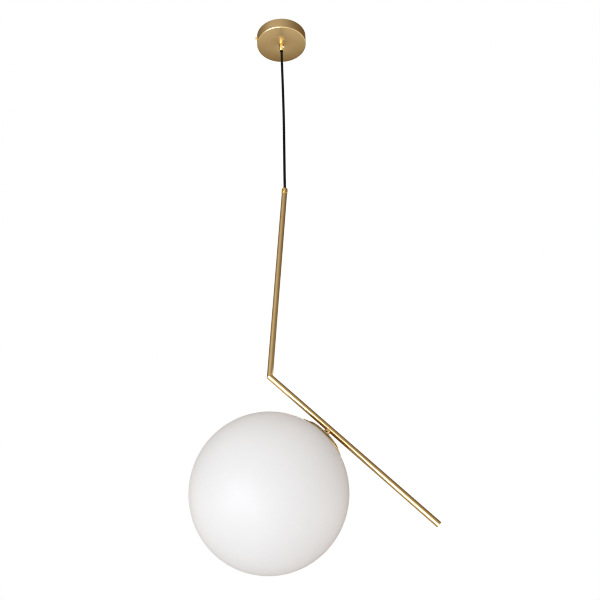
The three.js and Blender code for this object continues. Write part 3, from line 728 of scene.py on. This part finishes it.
bm = bmesh.new()
gal = sphere_arc(153.2, 4.35, 30.4, 12) + [(30.9, 16.4), (31.1, 16.9), (31.1, 26.7), (30.9, 27.0), (29.8, 27.0), (29.6, 26.7), (29.6, 17.6)] + sphere_arc(152.0, 28.9, 4.35, 12)
lathe(bm, down(gal), 128)
dress(lift("gallery_cup", bm, mat=FRAME_NECK, body="lamp", replaces="gallery"), M_NECK)

bm = bmesh.new()
c0, c1 = 150.3, 151.9
col = sphere_arc(c1, 31.6, 51.4, 14) + [(51.85, 166 - math.sqrt(151.7 ** 2 - 51.85 ** 2)), (52.0, 166 - math.sqrt(151.2 ** 2 - 52.0 ** 2)), (51.9, 166 - math.sqrt(150.5 ** 2 - 51.9 ** 2))]
col += sphere_arc(c0, 51.6, 34.2, 12) + [(33.7, 21.0), (33.6, 21.6), (33.6, 28.2), (33.3, 28.5), (31.8, 28.5), (31.5, 28.2)]
lathe(bm, down(col), 160)
dress(lift("globe_ring", bm, mat=FRAME_NECK, body="globe", replaces="globe_collar", sharp=35), M_NECK)

bm = bmesh.new()
lathe(bm, down(rounded(sphere_arc(153.15, 31.5, 37.5, 3) + sphere_arc(152.25, 37.5, 31.5, 3), 0.25, 3)), 96)
dress(lift("gasket_ring", bm, mat=FRAME_NECK, body="globe_seat", replaces="globe_gasket"), M_SILI)

# ------------------------------------------------------------------ globe
GR, GT, MR = 150.0, 1.3, 34.0
bm = bmesh.new()
K = 88
a0, b0 = math.asin(MR / GR), math.asin(MR / (GR - GT))
outer, inner = [], []
for i in range(K + 1):
    t = a0 + (math.pi - a0) * i / K
    outer.append((0.0 if i == K else GR * math.sin(t), 166 - GR * math.cos(t)))
for i in range(K, -1, -1):
    t = b0 + (math.pi - b0) * i / K
    inner.append((0.0 if i == K else (GR - GT) * math.sin(t), 166 - (GR - GT) * math.cos(t)))
profile = outer[::-1] + [((outer[0][0] + inner[-1][0]) / 2 - 0.3, (outer[0][1] + inner[-1][1]) / 2 - 0.02)] + inner[::-1]
lathe(bm, down(profile), 176)
globe = lift("globe_glass", bm, mat=FRAME_NECK, body="globe", replaces="globe", sharp=50)
dress(globe, M_OPAL)

# ------------------------------------------------------------------ lamp holder and bulb
bm = bmesh.new()
lathe(bm, down(rounded([(4.35, 20, 0.1), (10, 20, 2.5), (15.2, 23.2, 2.5), (17, 28.5, 3), (17, 36.6, 0.1), (17.3, 37.0, 0.1), (15.2, 37.0, 0.1), (15.2, 29, 1.5), (13.2, 25, 1.5), (9.4, 22.4, 1), (4.35, 22.4, 0.1)], 0.4, 5)), 96)
dress(lift("holder_top", bm, mat=FRAME_NECK, body="lamp", replaces="lampholder_cap"), M_BLACKP)


def ribs(r, z, t):
    return -0.35 * (0.5 - 0.5 * math.cos(36 * t)) ** 4 if r > 18.0 and 42 < -z < 63 else 0.0


bm = bmesh.new()
hb = [(0, 37.3), (17.9, 37.3), (18.3, 37.7), (18.3, 41.2), (18.4, 41.8), (18.4, 43), (18.4, 48), (18.4, 53), (18.4, 58), (18.4, 62.4), (18.4, 63.6), (18.0, 64.0), (18.0, 64.8), (18.4, 65.2), (18.4, 69.0), (18.1, 69.6), (17.5, 69.8), (16.3, 69.8), (15.9, 69.4), (15.9, 41.8), (15.6, 41.6), (0, 41.6)]
lathe(bm, down(hb), 216, bump=ribs)
dress(lift("holder_body", bm, mat=FRAME_NECK, body="lamp", replaces="lampholder_body"), M_BLACKP)


def thread_profile(b_from, b_to, r_in, r_out, pitch=3.63, steps=12):
    pts = []
    b = b_from
    while b < b_to - 1e-6:
        for i in range(steps):
            t = i / steps
            bb = b + pitch * t
            if bb > b_to:
                break
            s = 0.5 - 0.5 * math.cos(2 * math.pi * t)
            pts.append((r_in + (r_out - r_in) * s, bb))
        b += pitch
    pts.append((r_in, b_to))
    return pts


bm = bmesh.new()
inner_thread = thread_profile(45.0, 66.8, 14.35, 15.05)
lathe(bm, down([(14.6, 43.0), (15.5, 43.0), (15.55, 68.3), (15.3, 68.6), (14.7, 68.6), (14.4, 68.2)] + inner_thread[::-1]), 96)
dress(lift("holder_shell", bm, mat=FRAME_NECK, body="lamp", replaces="lampholder_shell"), M_SHELL)

bm = bmesh.new()
base = [(0, 46.9), (7.4, 46.9), (8.4, 47.3), (11.2, 48.4), (12.2, 49.2)] + thread_profile(49.4, 67.5, 12.25, 13.3) + [(12.3, 68.0), (12.9, 68.8), (13.2, 69.6), (13.2, 71.2), (12.9, 71.5), (11.2, 71.5), (11.2, 52), (7, 49.2), (0, 49.2)]
lathe(bm, down(base), 96)
dress(lift("bulb_screw_base", bm, mat=FRAME_NECK, body="bulb", replaces="bulb_base"), M_NICKEL)

bm = bmesh.new()
lathe(bm, down([(0, 44.4), (2.2, 44.42), (3.4, 44.8), (4.5, 45.6), (4.8, 46.3), (4.8, 46.6), (0, 46.6)]), 48)
dress(lift("bulb_tip_contact", bm, mat=FRAME_NECK, body="bulb_tip", replaces="bulb_contact"), M_STEEL_N)


def smooth_curve(points, k=6):
    """Catmull-Rom through (r, b) points."""
    out = []
    n = len(points)
    for i in range(n - 1):
        p0 = points[i - 1] if i else points[0]
        p1, p2 = points[i], points[i + 1]
        p3 = points[i + 2] if i + 2 < n else (-points[n - 2][0], points[n - 2][1])
        for j in range(k):
            t = j / k
            out.append(tuple(0.5 * ((2 * p1[a]) + (-p0[a] + p2[a]) * t + (2 * p0[a] - 5 * p1[a] + 4 * p2[a] - p3[a]) * t * t + (-p0[a] + 3 * p1[a] - 3 * p2[a] + p3[a]) * t ** 3) for a in (0, 1)))
    out.append(points[-1])
    return [(max(r, 0.0), b) for r, b in out]


bulb_out = [(13.2, 71.7), (14.2, 78), (17.6, 86), (23, 95), (27.6, 104.5), (29.7, 114), (29.8, 121), (28, 131), (23.6, 140.2), (17.2, 147.2), (9, 152), (0, 153.6)]
bulb_in = [(12.0, 71.7), (13.0, 78.2), (16.5, 86.6), (21.9, 95.5), (26.4, 104.9), (28.5, 114.1), (28.6, 121), (26.85, 130.6), (22.6, 139.3), (16.5, 146.1), (8.8, 150.7), (0, 152.2)]
bm = bmesh.new()
lathe(bm, down(smooth_curve(bulb_out)[::-1] + smooth_curve(bulb_in)), 96)
dress(lift("bulb_glass", bm, mat=FRAME_NECK, body="bulb", replaces="bulb_envelope"), M_BULB)

# ------------------------------------------------------------------ leads as smooth bars
def catmull(points, k=10):
    out = []
    n = len(points)
    for i in range(n - 1):
        p0 = points[i - 1] if i else points[0] * 2 - points[1]
        p1, p2 = points[i], points[i + 1]
        p3 = points[i + 2] if i + 2 < n else points[-1] * 2 - points[-2]
        for j in range(k):
            t = j / k
            out.append(0.5 * (2 * p1 + (p2 - p0) * t + (2 * p0 - 5 * p1 + 4 * p2 - p3) * t * t + (3 * p1 - p0 - 3 * p2 + p3) * t ** 3))
    out.append(points[-1])
    return out


def turned(x, y, z):
    return Vector((x * ct - y * st, x * st + y * ct, z))


for name, node, pts, mat, slot in (
    ("lead_brown_wire", "lead_live", [Vector((1.0, -1.45, -16.7)), Vector((1.0, -1.45, -14.3)), Vector((3.6, -2.6, -9.8)), turned(9, -4.3, -8), turned(22, -4.3, -8)], M_BROWN, "lead_brown"),
    ("lead_blue_wire", "lead_neutral", [Vector((1.0, 1.45, -16.7)), Vector((1.0, 1.45, -14.3)), Vector((3.6, 2.6, -9.8)), turned(9, 4.3, -8), turned(22, 4.3, -8)], M_BLUE, "lead_blue"),
    ("lead_green_wire", "lead_earth", [Vector((-1.7, 0, -16.7)), Vector((-1.7, 0, -14.3)), Vector((-4.6, 0, -9.6)), turned(-11, 0, -6.6), turned(-17.6, 0, -6.4)], M_GREEN, "lead_green"),
):
    bm = bmesh.new()
    sweep(bm, catmull(pts), 1.0, 16)
    dress(lift(name, bm, body="canopy", replaces=node, sharp=60), mat)

# ------------------------------------------------------------------ carried-over CAD nodes get procedural finishes
for node, mat in {
    "ceiling_bracket": M_ZINC, "earth_screw": M_SCREW, "earth_washer": M_SCREW, "grip_washer": M_STEEL, "grip_nut": M_STEEL,
    "terminal_block": M_WHITEP, "terminal_screw_live": M_STEEL, "terminal_screw_neutral": M_STEEL, "cord_inlet": M_CORD,
    "cord_end": M_CORD, "threaded_nipple": M_STEEL_N, "nipple_washer": M_STEEL_N, "nipple_nut": M_STEEL_N,
    "lampholder_contact": M_SHELL, "twin_lead": M_LEADW,
}.items():
    dress(NODES[node], mat)

# ------------------------------------------------------------------ floor and studio light
g = Graph("floor_paint")
c = g.coords()
broad = g.noise(c, 0.004, 3, 0.5)
g.link(g.ramp(broad, [(0.3, (0.925, 0.93, 0.935)), (0.7, (0.94, 0.945, 0.95))]), g.p.inputs["Base Color"])
g.set(Roughness=0.9)
g.p.inputs["Emission Color"].default_value = (0.96, 0.98, 1.0, 1)
g.p.inputs["Emission Strength"].default_value = 0.28
bm = bmesh.new()
bmesh.ops.create_grid(bm, x_segments=8, y_segments=8, size=16.0)
me = bpy.data.meshes.new("floor")
bm.to_mesh(me)
bm.free()
floor = bpy.data.objects.new("floor", me)
floor.location = (0, 0, -5.0)
floor.data.materials.append(g.m)
bpy.context.scene.collection.objects.link(floor)

floor.visible_glossy = False
floor.visible_diffuse = False
floor.visible_shadow = False

# The studio is a white room with one big soft light to the left of the viewer and the dark, warm side of the room to the
# right and behind. Directions are (x, y, z) from the lamp; a lobe is (direction, sharpness, colour).
REFLECTED = {
    "ambient": (0.135, 0.070, 0.010),
    "slope": None,
    "lobes": [
        ((-0.324, -0.803, 0.500), 2.0, (0.60, 0.595, 0.58)),      # the pale wall and ceiling in front
        ((-0.600, -0.740, -0.310), 15.0, (9.2, 10.0, 13.0)),        # the big soft light
        ((-0.160, -0.800, -0.560), 70.0, (4.5, 4.5, 4.5)),        # a small one beside it
        ((0.050, -0.620, -0.780), 6.0, (1.70, 1.64, 1.52)),      # the pale floor in front
        ((-0.900, 0.000, -0.440), 6.0, (0.50, 0.46, 0.40)),       # the floor at the left
        ((0.850, -0.150, -0.500), 7.0, (1.35, 1.30, 1.20)),       # and at the right
        ((0.000, 0.720, -0.694), 4.0, (0.050, 0.032, 0.006)),     # and behind
        ((0.880, 0.450, -0.200), 14.0, (1.50, 1.45, 1.35)),       # fill from behind, right
        ((-0.880, 0.450, -0.200), 14.0, (1.10, 1.05, 0.98)),      # and left
    ],
}
SCATTERED = {
    "ambient": (0.710, 0.670, 0.650),
    "slope": ((-0.200, -0.472, -0.185), (-0.222, -0.523, -0.206), (-0.238, -0.563, -0.225)),
    "lobes": [
        ((0.150, 0.950, -0.250), 7.0, (0.66, 0.68, 0.70)),        # fill from behind
    ],
}
world = bpy.data.worlds.new("studio")
bpy.context.scene.world = world
world.use_nodes = True
nt = world.node_tree
nt.nodes.clear()


def wnode(kind, **sets):
    node = nt.nodes.new(kind)
    for k, v in sets.items():
        setattr(node, k, v)
    return node


def room(spec, direction):
    """Sum of spherical lobes as a colour."""
    total = wnode("ShaderNodeCombineXYZ")
    for k in range(3):
        total.inputs[k].default_value = spec["ambient"][k]
    total = total.outputs[0]
    if spec["slope"]:
        tilt = wnode("ShaderNodeCombineXYZ")
        for k in range(3):
            dot = wnode("ShaderNodeVectorMath", operation="DOT_PRODUCT")
            nt.links.new(direction, dot.inputs[0])
            dot.inputs[1].default_value = spec["slope"][k]
            nt.links.new(dot.outputs["Value"], tilt.inputs[k])
        add = wnode("ShaderNodeVectorMath", operation="ADD")
        nt.links.new(total, add.inputs[0])
        nt.links.new(tilt.outputs[0], add.inputs[1])
        total = add.outputs[0]
    for d, sharp, colour in spec["lobes"]:
        dot = wnode("ShaderNodeVectorMath", operation="DOT_PRODUCT")
        nt.links.new(direction, dot.inputs[0])
        dot.inputs[1].default_value = Vector(d).normalized()
        mad = wnode("ShaderNodeMath", operation="MULTIPLY_ADD")
        nt.links.new(dot.outputs["Value"], mad.inputs[0])
        mad.inputs[1].default_value, mad.inputs[2].default_value = sharp, -sharp
        ex = wnode("ShaderNodeMath", operation="EXPONENT")
        nt.links.new(mad.outputs[0], ex.inputs[0])
        sc = wnode("ShaderNodeVectorMath", operation="SCALE")
        sc.inputs[0].default_value = colour
        nt.links.new(ex.outputs[0], sc.inputs["Scale"])
        add = wnode("ShaderNodeVectorMath", operation="ADD")
        nt.links.new(total, add.inputs[0])
        nt.links.new(sc.outputs[0], add.inputs[1])
        total = add.outputs[0]
    return total


tc = wnode("ShaderNodeTexCoord")
lp = wnode("ShaderNodeLightPath")
shades = []
for spec in (SCATTERED, REFLECTED):
    b = wnode("ShaderNodeBackground")
    nt.links.new(room(spec, tc.outputs["Generated"]), b.inputs[0])
    shades.append(b)
white = wnode("ShaderNodeBackground")
white.inputs[0].default_value = (1, 1, 1, 1)
mix1 = wnode("ShaderNodeMixShader")
nt.links.new(lp.outputs["Is Glossy Ray"], mix1.inputs[0])
nt.links.new(shades[0].outputs[0], mix1.inputs[1])
nt.links.new(shades[1].outputs[0], mix1.inputs[2])
mix2 = wnode("ShaderNodeMixShader")
nt.links.new(lp.outputs["Is Camera Ray"], mix2.inputs[0])
nt.links.new(mix1.outputs[0], mix2.inputs[1])
nt.links.new(white.outputs[0], mix2.inputs[2])
out = wnode("ShaderNodeOutputWorld")
nt.links.new(mix2.outputs[0], out.inputs[0])


def area(name, loc, target, sx, sy, radiance, colour=(1, 1, 1), diffuse=True, glossy=True):
    d = bpy.data.lights.new(name, "AREA")
    d.shape = "RECTANGLE"
    d.size, d.size_y = sx, sy
    d.energy = radiance * sx * sy * math.pi
    d.color = colour
    o = bpy.data.objects.new(name, d)
    o.location = loc
    o.rotation_mode = "QUATERNION"
    o.rotation_quaternion = (Vector(target) - Vector(loc)).to_track_quat("-Z", "Y")
    o.visible_camera = False
    o.visible_diffuse = diffuse
    o.visible_glossy = glossy
    bpy.context.scene.collection.objects.link(o)
    return o


# a low card behind the cord, which the canopy's underside mirrors
q, v = Vector((0, 0.72, -0.69)), Vector((0, 0.69, 0.72))
card_at = Vector((-0.04, 0, -0.028)) + q * 0.6 - v * 0.18
area("card", card_at, card_at - q, 0.55, 0.36, 0.66, (0.97, 1.0, 1.04), diffuse=False)

bpy.context.scene.cycles.filter_width = 1.15
bpy.context.scene.view_settings.view_transform = "Standard"
bpy.context.scene.view_settings.look = "None"
